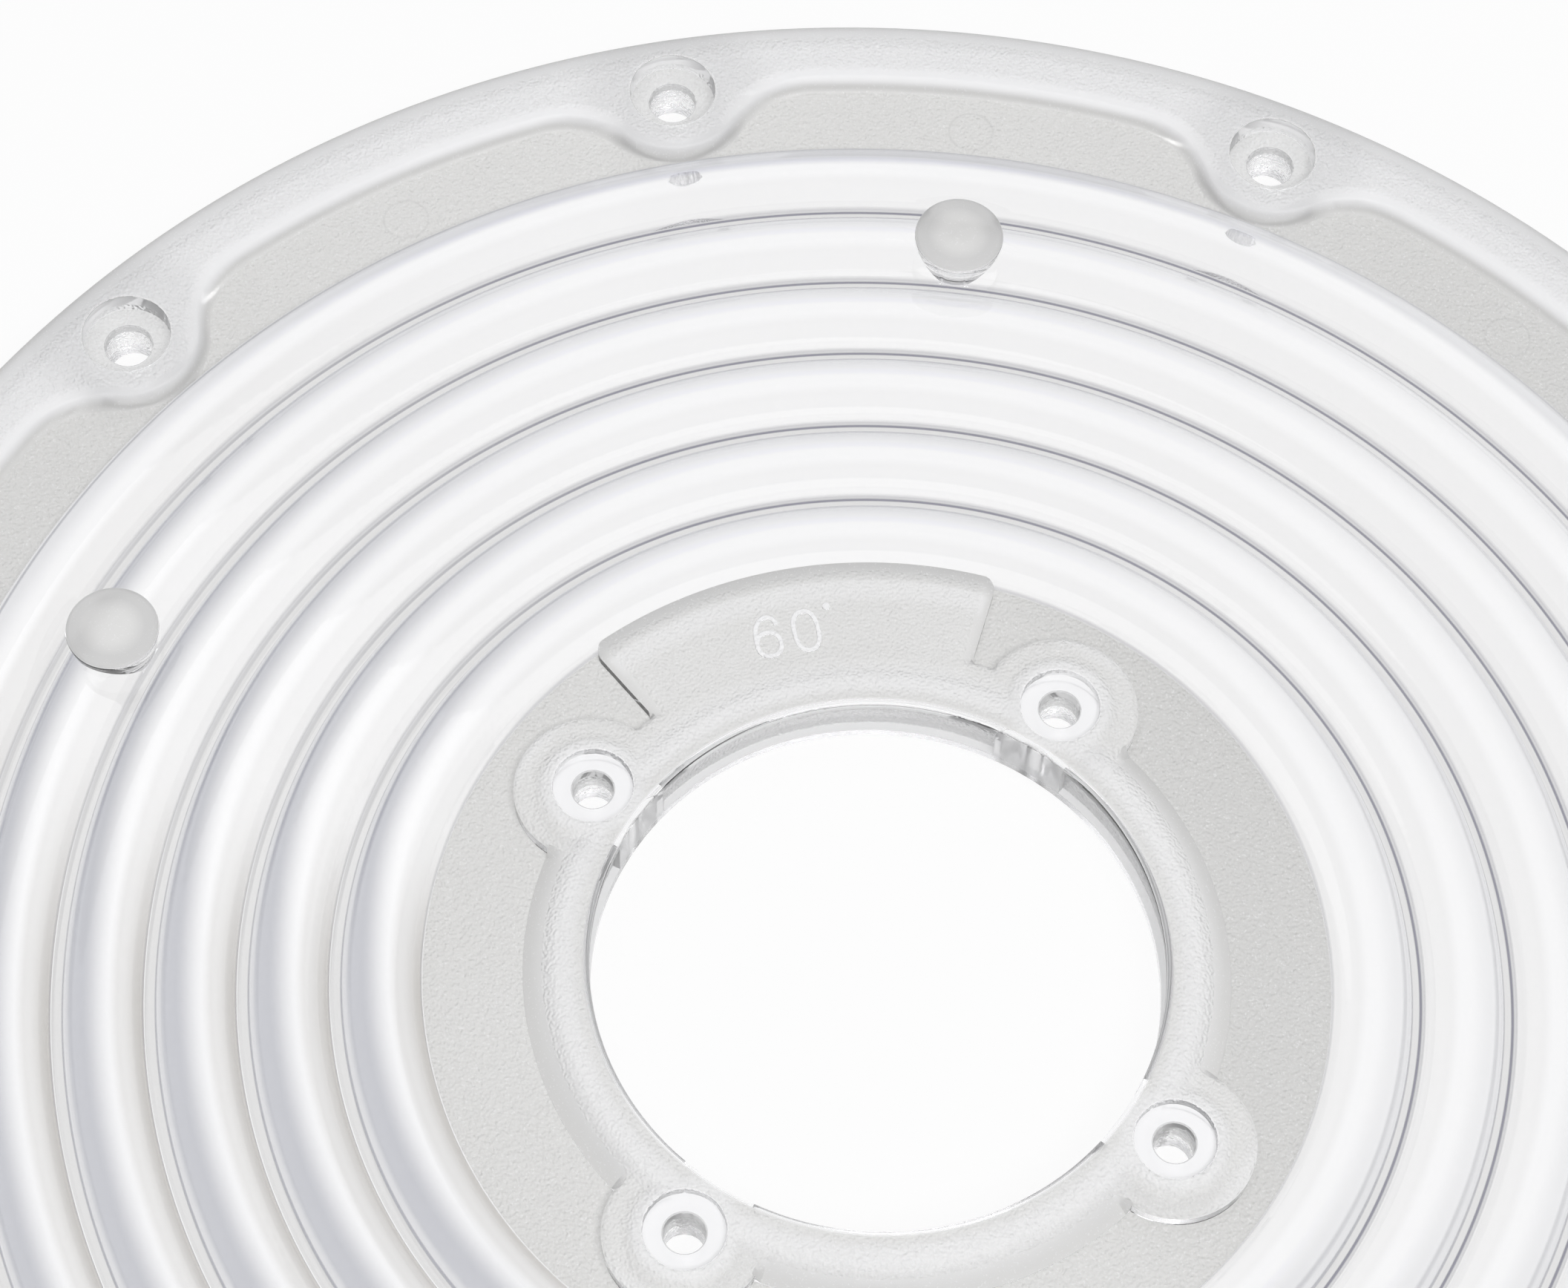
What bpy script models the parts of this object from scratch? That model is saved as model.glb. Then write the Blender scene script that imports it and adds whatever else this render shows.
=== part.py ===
"""Lens plate of a round high bay lamp: six ring lenses between a flange and a hub, moulded in one piece.

Metres, +Z towards the side that shines. The seat of the flange is at z = 0. The pad on the hub points to +Y.
"""

import math

import bmesh
import bpy

MM = 0.001

# Heights above the seat of the flange
FLAT_HEIGHT = 7.0 * MM
FLANGE_RISE = 1.8 * MM
RING_HEIGHT = 3.2 * MM
PAD_RISE = 1.9 * MM
CROWN_RISE = 2.5 * MM
PLATE_THICKNESS = 2.2 * MM
HUB_FOOT_HEIGHT = 1.8 * MM

# Hub
BORE_RADIUS = 32.0 * MM
CROWN_WIDTH = 4.0 * MM
HUB_SLOPE_WIDTH = 3.4 * MM
HUB_SLOPE_BEND = (0.45, 0.38)
HUB_FLAT_WIDTH = 11.2 * MM
HUB_FOOT_WIDTH = 3.2 * MM
BORE_EDGE = 0.5 * MM
POCKET_DEPTH = 0.9 * MM
POCKET_LIP = 1.3 * MM
POCKET_HALF_ANGLE = math.radians(37)

# Hub bosses
BOSS_COUNT = 4
BOSS_OFFSET = 6.4 * MM
BOSS_RADIUS = 5.6 * MM
BOSS_SLOPE_WIDTH = 1.6 * MM
BOSS_DROP = 0.1 * MM
APRON_RADIUS = 9.0 * MM
APRON_EDGE = 0.2 * MM
HUB_HOLE_RADIUS = 2.35 * MM
HUB_SINK_RADIUS = 4.55 * MM
HUB_SINK_DEPTH = 1.15 * MM

# Pad between two bosses
PAD_OVERLAP = 0.7 * MM
PAD_CORNER = 2.0 * MM
PAD_EDGE = 0.6 * MM
NOTCH_RADIUS = 1.2 * MM
NOTCH_FLAT = 0.65 * MM

# Ring lenses, each with a groove for its circle of lamps beneath
RING_COUNT = 6
RING_PITCH = 10.2 * MM
VALLEY_WIDTH = 1.25 * MM
RING_ARCH = math.radians(80)
GROOVE_WIDTH = 8.4 * MM
GROOVE_HEIGHT = 1.6 * MM

# Flange
RECESS_WIDTH = 9.3 * MM
FLANGE_WIDTH = 10.15 * MM
SHOULDER_RADIUS = 3.0 * MM
WALL_FOOT = 0.2 * MM
WALL_LEAN = 1.7 * MM
SKIRT_WIDTH = 3.0 * MM
FLANGE_WALL = 3.6 * MM
SCREW_COUNT = 10
SCREW_INSET = 9.5 * MM
LOBE_RADIUS = 9.4 * MM
LOBE_FILLET = 11.0 * MM
POST_RADIUS = 7.0 * MM
POST_RELIEF = 0.1 * MM
SCREW_HOLE_RADIUS = 2.8 * MM
SCREW_SINK_RADIUS = 5.25 * MM
SCREW_SINK_DEPTH = 2.8 * MM

# Knobs on the second ring from the outside
KNOB_COUNT = 5
KNOB_RING = 2
KNOB_FIRST_ANGLE = math.radians(72)
KNOB_HEAD_RADIUS = 5.35 * MM
KNOB_FOOT_RADIUS = 4.6 * MM
KNOB_CLEARANCE = 1.6 * MM
KNOB_DOME = 0.4 * MM
KNOB_TOP_RADIUS = 4.0 * MM
KNOB_ROOT = 0.1 * MM

# Facets
TURN_STEPS = 48
FLANGE_STEPS = 60
RING_STEPS = 5
GROOVE_STEPS = 3
HOLE_STEPS = 14
BOSS_STEPS = 18
POST_STEPS = 12
SMOOTH_ANGLE = math.radians(40)

# Radii that follow from the sizes above
APEX = math.pi / 2
CROWN_OUTER = BORE_RADIUS + CROWN_WIDTH
HUB_EDGE = CROWN_OUTER + HUB_SLOPE_WIDTH
RINGS_INNER = HUB_EDGE + HUB_FLAT_WIDTH
RING_WIDTH = RING_PITCH - VALLEY_WIDTH
RINGS_OUTER = RINGS_INNER + RING_COUNT * RING_PITCH - VALLEY_WIDTH
FLANGE_INNER = RINGS_OUTER + RECESS_WIDTH
OUTER_RADIUS = FLANGE_INNER + FLANGE_WIDTH
SCREW_CIRCLE = OUTER_RADIUS - SCREW_INSET
BOSS_CIRCLE = BORE_RADIUS + BOSS_OFFSET
PAD_OUTER = RINGS_INNER + PAD_OVERLAP
STEP_INNER = CROWN_OUTER - CROWN_WIDTH / 2
NOTCH_FLOOR = HUB_EDGE + 0.2 * MM
POST_INSIDE = 1.0 * MM

# Levels that follow from the heights above
BOARD_LEVEL = FLAT_HEIGHT - PLATE_THICKNESS
CREST_LEVEL = FLAT_HEIGHT + RING_HEIGHT
PAD_LEVEL = FLAT_HEIGHT + PAD_RISE
CROWN_LEVEL = FLAT_HEIGHT + CROWN_RISE
FLANGE_LEVEL = FLAT_HEIGHT + FLANGE_RISE
BURIED = BOARD_LEVEL + PLATE_THICKNESS / 2
CLEAR_ABOVE = CREST_LEVEL + FLAT_HEIGHT


def clear_scene():
    for item in list(bpy.data.objects):
        bpy.data.objects.remove(item)


def clear_plastic():
    material = bpy.data.materials.new("clear_plastic")
    material.use_nodes = True
    shader = material.node_tree.nodes["Principled BSDF"]
    shader.inputs["Base Color"].default_value = (0.93, 0.94, 0.95, 1)
    shader.inputs["Roughness"].default_value = 0.15
    shader.inputs["Metallic"].default_value = 0
    shader.inputs["IOR"].default_value = 1.58
    shader.inputs["Transmission Weight"].default_value = 0.9
    return material


def polar(radius, angle):
    return radius * math.cos(angle), radius * math.sin(angle)


def arc(centre, radius, start, end, steps):
    """Points of an arc, both ends included."""
    turns = [start + (end - start) * i / steps for i in range(steps + 1)]
    return [(centre[0] + radius * math.cos(t), centre[1] + radius * math.sin(t)) for t in turns]


def direction(start, end):
    return math.atan2(end[1] - start[1], end[0] - start[0])


def turned(points, angle):
    cosine, sine = math.cos(angle), math.sin(angle)
    return [(x * cosine - y * sine, x * sine + y * cosine) for x, y in points]


def new_object(name, shape, collection=None):
    bmesh.ops.recalc_face_normals(shape, faces=shape.faces)
    mesh = bpy.data.meshes.new(name)
    shape.to_mesh(mesh)
    shape.free()
    mesh.shade_smooth()
    mesh.set_sharp_from_angle(angle=SMOOTH_ANGLE)
    item = bpy.data.objects.new(name, mesh)
    (collection or bpy.context.scene.collection).objects.link(item)
    if collection:
        item.hide_render = True
        item.display_type = "WIRE"
    return item


def spun(profile, steps):
    """A closed profile of (radius, height) points, turned about Z."""
    shape = bmesh.new()
    rim = [shape.verts.new((radius, 0, height)) for radius, height in profile]
    edges = [shape.edges.new(pair) for pair in zip(rim, rim[1:] + rim[:1])]
    turn = {"cent": (0, 0, 0), "axis": (0, 0, 1), "angle": 2 * math.pi}
    bmesh.ops.spin(shape, geom=rim + edges, steps=steps, use_merge=True, **turn)
    bmesh.ops.remove_doubles(shape, verts=shape.verts, dist=1e-6)
    return shape


def stacked(levels):
    """Outlines of equal length, each with its height, joined side by side and closed by two caps."""
    shape = bmesh.new()
    loops = [[shape.verts.new((x, y, height)) for x, y in outline] for outline, height in levels]
    for lower, upper in zip(loops, loops[1:]):
        count = len(lower)
        for i in range(count):
            j = (i + 1) % count
            shape.faces.new((lower[i], lower[j], upper[j], upper[i]))
    shape.faces.new(loops[0])
    shape.faces.new(loops[-1])
    return shape


def turned_pin(levels, centre, steps=HOLE_STEPS):
    """A round pin about a vertical axis, from (radius, height) levels."""
    return stacked([(arc(centre, radius, 0, 2 * math.pi, steps)[:-1], height) for radius, height in levels])


def ring_arch(middle):
    """Section of one ring lens: the upper part of an ellipse, steep where it meets the valleys."""
    half, low = RING_WIDTH / 2, math.cos(RING_ARCH)
    points = []
    for i in range(RING_STEPS + 1):
        t = RING_ARCH * (2 * i / RING_STEPS - 1)
        rise = (math.cos(t) - low) / (1 - low)
        points.append((middle + half * math.sin(t) / math.sin(RING_ARCH), FLAT_HEIGHT + RING_HEIGHT * rise))
    return points


def groove_arch(middle):
    """Section of the wide shallow groove under one ring lens, from its outer edge to its inner edge."""
    half = GROOVE_WIDTH / 2
    radius = (half**2 + GROOVE_HEIGHT**2) / (2 * GROOVE_HEIGHT)
    swing = math.asin(half / radius)
    centre = (middle, BOARD_LEVEL + GROOVE_HEIGHT - radius)
    return arc(centre, radius, APEX - swing, APEX + swing, GROOVE_STEPS)


def ring_middle(ring):
    return RINGS_INNER + RING_WIDTH / 2 + ring * RING_PITCH


def boss_angle(index):
    return APEX + (index + 0.5) * 2 * math.pi / BOSS_COUNT


def screw_angle(index):
    return APEX + index * 2 * math.pi / SCREW_COUNT


def plate_profile():
    """Section of the turned body, from the bore over the ring lenses to the flange and back beneath."""
    inside = BORE_RADIUS - POST_INSIDE
    outside = SCREW_CIRCLE
    points = [(inside, HUB_FOOT_HEIGHT), (inside, CROWN_LEVEL), (CROWN_OUTER, CROWN_LEVEL)]
    across, down = HUB_SLOPE_BEND
    points.append((CROWN_OUTER + across * HUB_SLOPE_WIDTH, CROWN_LEVEL - down * CROWN_RISE))
    points.append((HUB_EDGE, FLAT_HEIGHT))
    for ring in range(RING_COUNT):
        points += ring_arch(ring_middle(ring))
    points += [(outside, FLAT_HEIGHT), (outside, BOARD_LEVEL)]
    for ring in reversed(range(RING_COUNT)):
        points += groove_arch(ring_middle(ring))
    foot = BORE_RADIUS + HUB_FOOT_WIDTH
    points += [(foot, BOARD_LEVEL), (foot, HUB_FOOT_HEIGHT)]
    return points


def scallop(offset):
    """Inner outline of the flange: a lobe round each screw, with fillets. Offset moves it outwards."""
    edge = FLANGE_INNER + offset
    lobe = LOBE_RADIUS - offset
    fillet = LOBE_FILLET + offset
    centre_radius = edge - fillet
    reach = lobe + fillet
    cosine = (SCREW_CIRCLE**2 + centre_radius**2 - reach**2) / (2 * SCREW_CIRCLE * centre_radius)
    swing = math.acos(cosine)
    step = 2 * math.pi / SCREW_COUNT
    screw = (SCREW_CIRCLE, 0)
    before = polar(centre_radius, -swing)
    after = polar(centre_radius, swing)
    start = direction(screw, before) % (2 * math.pi)
    end = direction(screw, after) % (2 * math.pi)
    points = arc(before, fillet, -swing, start - math.pi, 3)[1:]
    points += arc(screw, lobe, start, end, 6)[1:]
    points += arc(after, fillet, end - math.pi, swing, 3)[1:]
    points += arc((0, 0), edge, swing, step - swing, 2)[1:]
    outline = []
    for i in range(SCREW_COUNT):
        outline += turned(points, APEX + i * step)
    return outline


def ring_between(shape, inner, outer):
    """Fills the flat face between two closed loops of vertices."""
    edges = []
    for loop in (inner, outer):
        for pair in zip(loop, loop[1:] + loop[:1]):
            edges.append(shape.edges.get(pair) or shape.edges.new(pair))
    bmesh.ops.triangle_fill(shape, use_beauty=True, edges=edges)


def wall_of_loops(shape, levels):
    loops = [[shape.verts.new((x, y, height)) for x, y in outline] for outline, height in levels]
    for lower, upper in zip(loops, loops[1:]):
        for i in range(len(lower)):
            j = (i + 1) % len(lower)
            shape.faces.new((lower[i], lower[j], upper[j], upper[i]))
    return loops


def flange(collection):
    """Raised rim with its scalloped inner wall, round shoulder and skirt."""
    shape = bmesh.new()
    ceiling = FLANGE_LEVEL - FLANGE_WALL
    foot = FLAT_HEIGHT + WALL_FOOT
    wall = [(scallop(-WALL_LEAN / 3), ceiling)]
    for part in (0, 0.5, 1):
        height = foot + (FLANGE_LEVEL - foot) * math.sin(APEX * part)
        wall.append((scallop(WALL_LEAN * (part - 1 / 3)), height))
    shoulder = []
    for i in range(4):
        t = APEX * (1 - i / 3)
        radius = OUTER_RADIUS - SHOULDER_RADIUS * (1 - math.cos(t))
        shoulder.append((radius, FLANGE_LEVEL - SHOULDER_RADIUS * (1 - math.sin(t))))
    skirt = OUTER_RADIUS - SKIRT_WIDTH
    levels = shoulder + [(OUTER_RADIUS, 0), (skirt, 0), (skirt, ceiling)]
    rim = [(arc((0, 0), radius, 0, 2 * math.pi, FLANGE_STEPS)[:-1], height) for radius, height in levels]
    inside = wall_of_loops(shape, wall)
    outside = wall_of_loops(shape, rim)
    ring_between(shape, inside[-1], outside[0])
    ring_between(shape, inside[0], outside[-1])
    return new_object("flange", shape, collection)


def knob(collection, index):
    """Clear peg that widens towards a slightly domed head."""
    angle = KNOB_FIRST_ANGLE + index * 2 * math.pi / KNOB_COUNT
    centre = polar(ring_middle(RING_COUNT - KNOB_RING), angle)
    head = CREST_LEVEL + KNOB_CLEARANCE
    levels = [
        (KNOB_FOOT_RADIUS, FLAT_HEIGHT - KNOB_ROOT),
        (KNOB_FOOT_RADIUS, FLAT_HEIGHT),
        (KNOB_HEAD_RADIUS, head - KNOB_DOME),
        (KNOB_TOP_RADIUS, head),
    ]
    return new_object(f"knob_{index + 1}", turned_pin(levels, centre), collection)


def screw_post(collection, index):
    """Post beneath each screw of the flange. It stops just short, so that the rim seats first."""
    centre = polar(SCREW_CIRCLE, screw_angle(index))
    levels = [(POST_RADIUS, POST_RELIEF), (POST_RADIUS, BURIED)]
    return new_object(f"post_{index + 1}", turned_pin(levels, centre, POST_STEPS), collection)


def hub_boss(collection, index):
    """Soft mound on top and a post beneath, round each screw of the hub."""
    foot = BOSS_RADIUS + BOSS_SLOPE_WIDTH
    levels = [
        (BOSS_RADIUS, HUB_FOOT_HEIGHT + POST_RELIEF),
        (BOSS_RADIUS, BURIED),
        (foot, BURIED),
        (foot, PAD_LEVEL - APRON_EDGE / 2),
        (BOSS_RADIUS, CROWN_LEVEL - BOSS_DROP),
    ]
    centre = polar(BOSS_CIRCLE, boss_angle(index))
    return new_object(f"boss_{index + 1}", turned_pin(levels, centre, BOSS_STEPS), collection)


def apron_outline(offset):
    """Step round one boss on +X: a circle about the screw, closed along the crown."""
    radius = APRON_RADIUS - offset
    cosine = (STEP_INNER**2 - BOSS_CIRCLE**2 - radius**2) / (2 * BOSS_CIRCLE * radius)
    swing = math.acos(cosine)
    outline = arc((BOSS_CIRCLE, 0), radius, -swing, swing, 20)
    half = direction((0, 0), outline[-1])
    return outline + arc((0, 0), STEP_INNER, half, -half, 4)[1:-1]


def apron(collection, index):
    """Step round one of the two bosses that are far from the pad."""
    levels = [(0, BURIED), (0, PAD_LEVEL - APRON_EDGE), (APRON_EDGE, PAD_LEVEL)]
    outlines = [(turned(apron_outline(offset), boss_angle(index)), height) for offset, height in levels]
    return new_object(f"apron_{index + 1}", stacked(outlines), collection)


def notch_start():
    """Angle from the middle of the pad to the notch's first corner, beside the step of the boss."""
    turn = NOTCH_FLOOR + NOTCH_RADIUS
    reach = APRON_RADIUS + NOTCH_RADIUS
    cosine = (BOSS_CIRCLE**2 + turn**2 - reach**2) / (2 * BOSS_CIRCLE * turn)
    return math.pi / BOSS_COUNT - math.acos(cosine)


def pad_half_angle():
    """The pad ends where the notch, with its two rounded corners and a flat between them, has room."""
    corner = math.asin(NOTCH_RADIUS / (NOTCH_FLOOR + NOTCH_RADIUS))
    return notch_start() - NOTCH_FLAT / NOTCH_FLOOR - corner


def front_step_outline(offset):
    """Half of the step on +X: round a boss, into the notch, up the end of the pad and round its corner."""
    side = math.pi / BOSS_COUNT
    boss = polar(BOSS_CIRCLE, side)
    radius = APRON_RADIUS - offset
    notch = NOTCH_RADIUS + offset
    turn = NOTCH_FLOOR + NOTCH_RADIUS
    outer = PAD_OUTER - offset
    corner = PAD_CORNER - offset / 2
    end = pad_half_angle() - offset / RINGS_INNER

    start = side + math.acos((STEP_INNER**2 - BOSS_CIRCLE**2 - radius**2) / (2 * BOSS_CIRCLE * radius))
    first = notch_start()
    second = end + math.asin(notch / turn)
    touch = direction(boss, polar(turn, first))

    points = arc(boss, radius, start, touch, 14)
    points += arc(polar(turn, first), notch, touch + math.pi, first + math.pi, 2)[1:]
    points += arc(polar(turn, second), notch, second - math.pi, end - APEX, 3)[:-1]
    points.append(polar(turn * math.cos(second - end), end))
    inset = math.asin(corner / (outer - corner))
    return points + arc(polar(outer - corner, end - inset), corner, end + APEX, end - inset, 3)


def front_step(collection):
    """Pad with the steps of the two bosses beside it, as one raised form."""
    edge = PAD_EDGE
    soft = edge * (1 - math.cos(APEX / 2))
    levels = [(0, BURIED), (0, PAD_LEVEL - edge), (soft, PAD_LEVEL - soft), (edge, PAD_LEVEL)]
    outlines = []
    for offset, height in levels:
        half = front_step_outline(offset)
        other = [(x, -y) for x, y in reversed(half)]
        far = direction((0, 0), half[-1])
        across = arc((0, 0), PAD_OUTER - offset, far, -far, 6)[1:-1]
        near = direction((0, 0), other[-1])
        back = arc((0, 0), STEP_INNER, near, -near, 12)[1:-1]
        outlines.append((turned(half + across + other + back, APEX), height))
    return new_object("front_step", stacked(outlines), collection)


def sink_hole(collection, name, centre, hole, sink, seat):
    """Cutter for a screw hole with a flat seat for the screw's head."""
    levels = [(hole, -MM), (hole, seat), (sink, seat), (sink, CLEAR_ABOVE)]
    return new_object(name, turned_pin(levels, centre), collection)


def bore(collection):
    """Cutter for the bore, with a small chamfer at the top."""
    slope = BORE_EDGE + MM
    profile = [
        (0, -MM),
        (BORE_RADIUS, -MM),
        (BORE_RADIUS, CROWN_LEVEL - BORE_EDGE),
        (BORE_RADIUS + slope, CROWN_LEVEL - BORE_EDGE + slope),
        (0, CROWN_LEVEL - BORE_EDGE + slope),
    ]
    return new_object("bore_cutter", spun(profile, TURN_STEPS), collection)


def bore_pocket(collection, index):
    """Cutter for one shallow pocket in the wall of the bore, between two bosses."""
    middle = APEX + index * 2 * math.pi / BOSS_COUNT
    start, end = middle - POCKET_HALF_ANGLE, middle + POCKET_HALF_ANGLE
    outline = arc((0, 0), BORE_RADIUS + POCKET_DEPTH, start, end, 9)
    outline += arc((0, 0), BORE_RADIUS - 2 * POST_INSIDE, end, start, 9)
    levels = [(outline, HUB_FOOT_HEIGHT + POCKET_LIP), (outline, CROWN_LEVEL - POCKET_LIP)]
    return new_object(f"pocket_{index + 1}", stacked(levels), collection)


def add_boolean(item, operation, collection):
    modifier = item.modifiers.new(operation.lower(), "BOOLEAN")
    modifier.operation = operation
    modifier.operand_type = "COLLECTION"
    modifier.collection = collection
    modifier.solver = "EXACT"


def build():
    clear_scene()
    added = bpy.data.collections.new("added_forms")
    cut = bpy.data.collections.new("cutters")
    for collection in (added, cut):
        bpy.context.scene.collection.children.link(collection)

    plate = new_object("lens_plate", spun(plate_profile(), TURN_STEPS))
    plate.data.materials.append(clear_plastic())

    flange(added)
    front_step(added)
    for index in range(BOSS_COUNT):
        hub_boss(added, index)
    for index in range(1, BOSS_COUNT - 1):
        apron(added, index)
    for index in range(SCREW_COUNT):
        screw_post(added, index)
    for index in range(KNOB_COUNT):
        knob(added, index)

    bore(cut)
    for index in range(BOSS_COUNT):
        bore_pocket(cut, index)
        centre = polar(BOSS_CIRCLE, boss_angle(index))
        seat = CROWN_LEVEL - HUB_SINK_DEPTH
        sink_hole(cut, f"hub_hole_{index + 1}", centre, HUB_HOLE_RADIUS, HUB_SINK_RADIUS, seat)
    for index in range(SCREW_COUNT):
        centre = polar(SCREW_CIRCLE, screw_angle(index))
        seat = FLANGE_LEVEL - SCREW_SINK_DEPTH
        sink_hole(cut, f"flange_hole_{index + 1}", centre, SCREW_HOLE_RADIUS, SCREW_SINK_RADIUS, seat)

    add_boolean(plate, "UNION", added)
    add_boolean(plate, "DIFFERENCE", cut)


build()
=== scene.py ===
"""Clear lens plate of a round high bay lamp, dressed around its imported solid."""

import math

import bmesh
import bpy
from mathutils import Matrix, Vector


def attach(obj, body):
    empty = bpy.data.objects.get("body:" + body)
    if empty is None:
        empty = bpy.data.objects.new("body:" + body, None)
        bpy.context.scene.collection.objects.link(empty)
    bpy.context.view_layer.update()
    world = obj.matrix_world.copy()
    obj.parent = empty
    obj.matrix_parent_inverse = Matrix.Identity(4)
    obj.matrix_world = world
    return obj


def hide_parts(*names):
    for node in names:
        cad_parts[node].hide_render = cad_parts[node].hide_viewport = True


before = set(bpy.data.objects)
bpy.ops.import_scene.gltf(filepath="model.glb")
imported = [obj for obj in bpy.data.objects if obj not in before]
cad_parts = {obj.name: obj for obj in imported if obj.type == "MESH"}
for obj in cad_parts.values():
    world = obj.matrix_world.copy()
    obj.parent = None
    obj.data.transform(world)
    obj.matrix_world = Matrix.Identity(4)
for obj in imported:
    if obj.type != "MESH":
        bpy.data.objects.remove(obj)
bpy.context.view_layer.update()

# The turned body. One shot of clear polycarbonate: six ring lenses side by side on a thin web, with a
# groove under each for its circle of lamps, and a deeper foot round the bore.

MM = 0.001
TURN_STEPS = 240
FLAT = 7.0
BOARD = 4.8
HUB_FOOT = 1.8
BORE = 32.0
RINGS_INNER = 50.6
RING_COUNT = 6
RING_PITCH = 10.2
RING_WIDTH = 8.95
RING_HEIGHT = 3.2
RING_ARCH = math.radians(80)
GROOVE_WIDTH = 8.4
GROOVE_HEIGHT = 1.6
RINGS_OUTER = RINGS_INNER + RING_COUNT * RING_PITCH - (RING_PITCH - RING_WIDTH)


def named(name, shape):
    """Puts a finished bmesh into an object of that name."""
    bmesh.ops.remove_doubles(shape, verts=shape.verts, dist=1e-7)
    bmesh.ops.recalc_face_normals(shape, faces=shape.faces)
    mesh = bpy.data.meshes.new(name)
    shape.to_mesh(mesh)
    shape.free()
    item = bpy.data.objects.new(name, mesh)
    bpy.context.scene.collection.objects.link(item)
    return item


def turned(profile, steps, centre=(0, 0), closed=False):
    """Points of (radius, height) in millimetres, spun about an upright axis."""
    shape = bmesh.new()
    chain = [shape.verts.new((radius * MM, 0, height * MM)) for radius, height in profile]
    edges = [shape.edges.new(pair) for pair in zip(chain, chain[1:])]
    if closed:
        edges.append(shape.edges.new((chain[-1], chain[0])))
    turn = {"cent": (0, 0, 0), "axis": (0, 0, 1), "angle": 2 * math.pi}
    bmesh.ops.spin(shape, geom=chain + edges, steps=steps, use_merge=True, **turn)
    bmesh.ops.translate(shape, verts=shape.verts, vec=(centre[0] * MM, centre[1] * MM, 0))
    return shape


def ring_middle(ring):
    return RINGS_INNER + RING_WIDTH / 2 + ring * RING_PITCH


def arch(middle, steps=20):
    """The section of one ring lens, steep at its feet."""
    low = math.cos(RING_ARCH)
    points = []
    for i in range(steps + 1):
        t = RING_ARCH * math.sin(math.pi / 2 * (2 * i / steps - 1))
        rise = (math.cos(t) - low) / (1 - low)
        reach = RING_WIDTH / 2 * math.sin(t) / math.sin(RING_ARCH)
        points.append((middle + reach, FLAT + RING_HEIGHT * rise))
    return points


def groove(middle, steps=10):
    """The section of the wide shallow groove under one ring lens, from its outer edge to its inner edge."""
    half = GROOVE_WIDTH / 2
    reach = (half**2 + GROOVE_HEIGHT**2) / (2 * GROOVE_HEIGHT)
    swing = math.asin(half / reach)
    lift = BOARD + GROOVE_HEIGHT - reach
    turns = [swing * (1 - 2 * i / steps) for i in range(steps + 1)]
    return [(middle + reach * math.sin(t), lift + reach * math.cos(t)) for t in turns]


section = [(BORE - 1, HUB_FOOT), (BORE - 1, FLAT)]
for ring in range(RING_COUNT):
    section += arch(ring_middle(ring))
section += [(RINGS_OUTER, FLAT - 0.4), (RINGS_OUTER, BOARD)]
for ring in reversed(range(RING_COUNT)):
    section += groove(ring_middle(ring))
section += [(BORE + 3.2, BOARD), (BORE + 3.2, HUB_FOOT + 0.3), (BORE + 2.9, HUB_FOOT)]
body = named("lens_plate_moulding", turned(section, TURN_STEPS, closed=True))

# The top of the hub. Crown round the bore, four screw bosses on steps, and a pad between two of them, all
# raised in the same moulding with soft edges. It is drawn as one cap and then joined to the body.

CROWN = 9.5
PAD = 8.9
CROWN_EDGE = 39.4
WEB_EDGE = 39.6
BOSS_CIRCLE = 38.4
STEP_RADIUS = 9.0
PAD_OUTER = 51.3
PAD_END = math.radians(28)
PAD_CORNER = 2.0
NOTCH = 1.2
QUARTER = math.pi / 4


def polar(radius, angle):
    return radius * math.cos(angle), radius * math.sin(angle)


def arc(centre, radius, start, end, step=0.3):
    """Points along an arc, both ends included, about a step apart in millimetres."""
    count = max(2, math.ceil(abs(end - start) * radius / step))
    turns = [start + (end - start) * i / count for i in range(count + 1)]
    return [(centre[0] + radius * math.cos(t), centre[1] + radius * math.sin(t)) for t in turns]


def towards(start, end):
    return math.atan2(end[1] - start[1], end[0] - start[0])


def turned_points(points, angle):
    cosine, sine = math.cos(angle), math.sin(angle)
    return [(x * cosine - y * sine, x * sine + y * cosine) for x, y in points]


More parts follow.
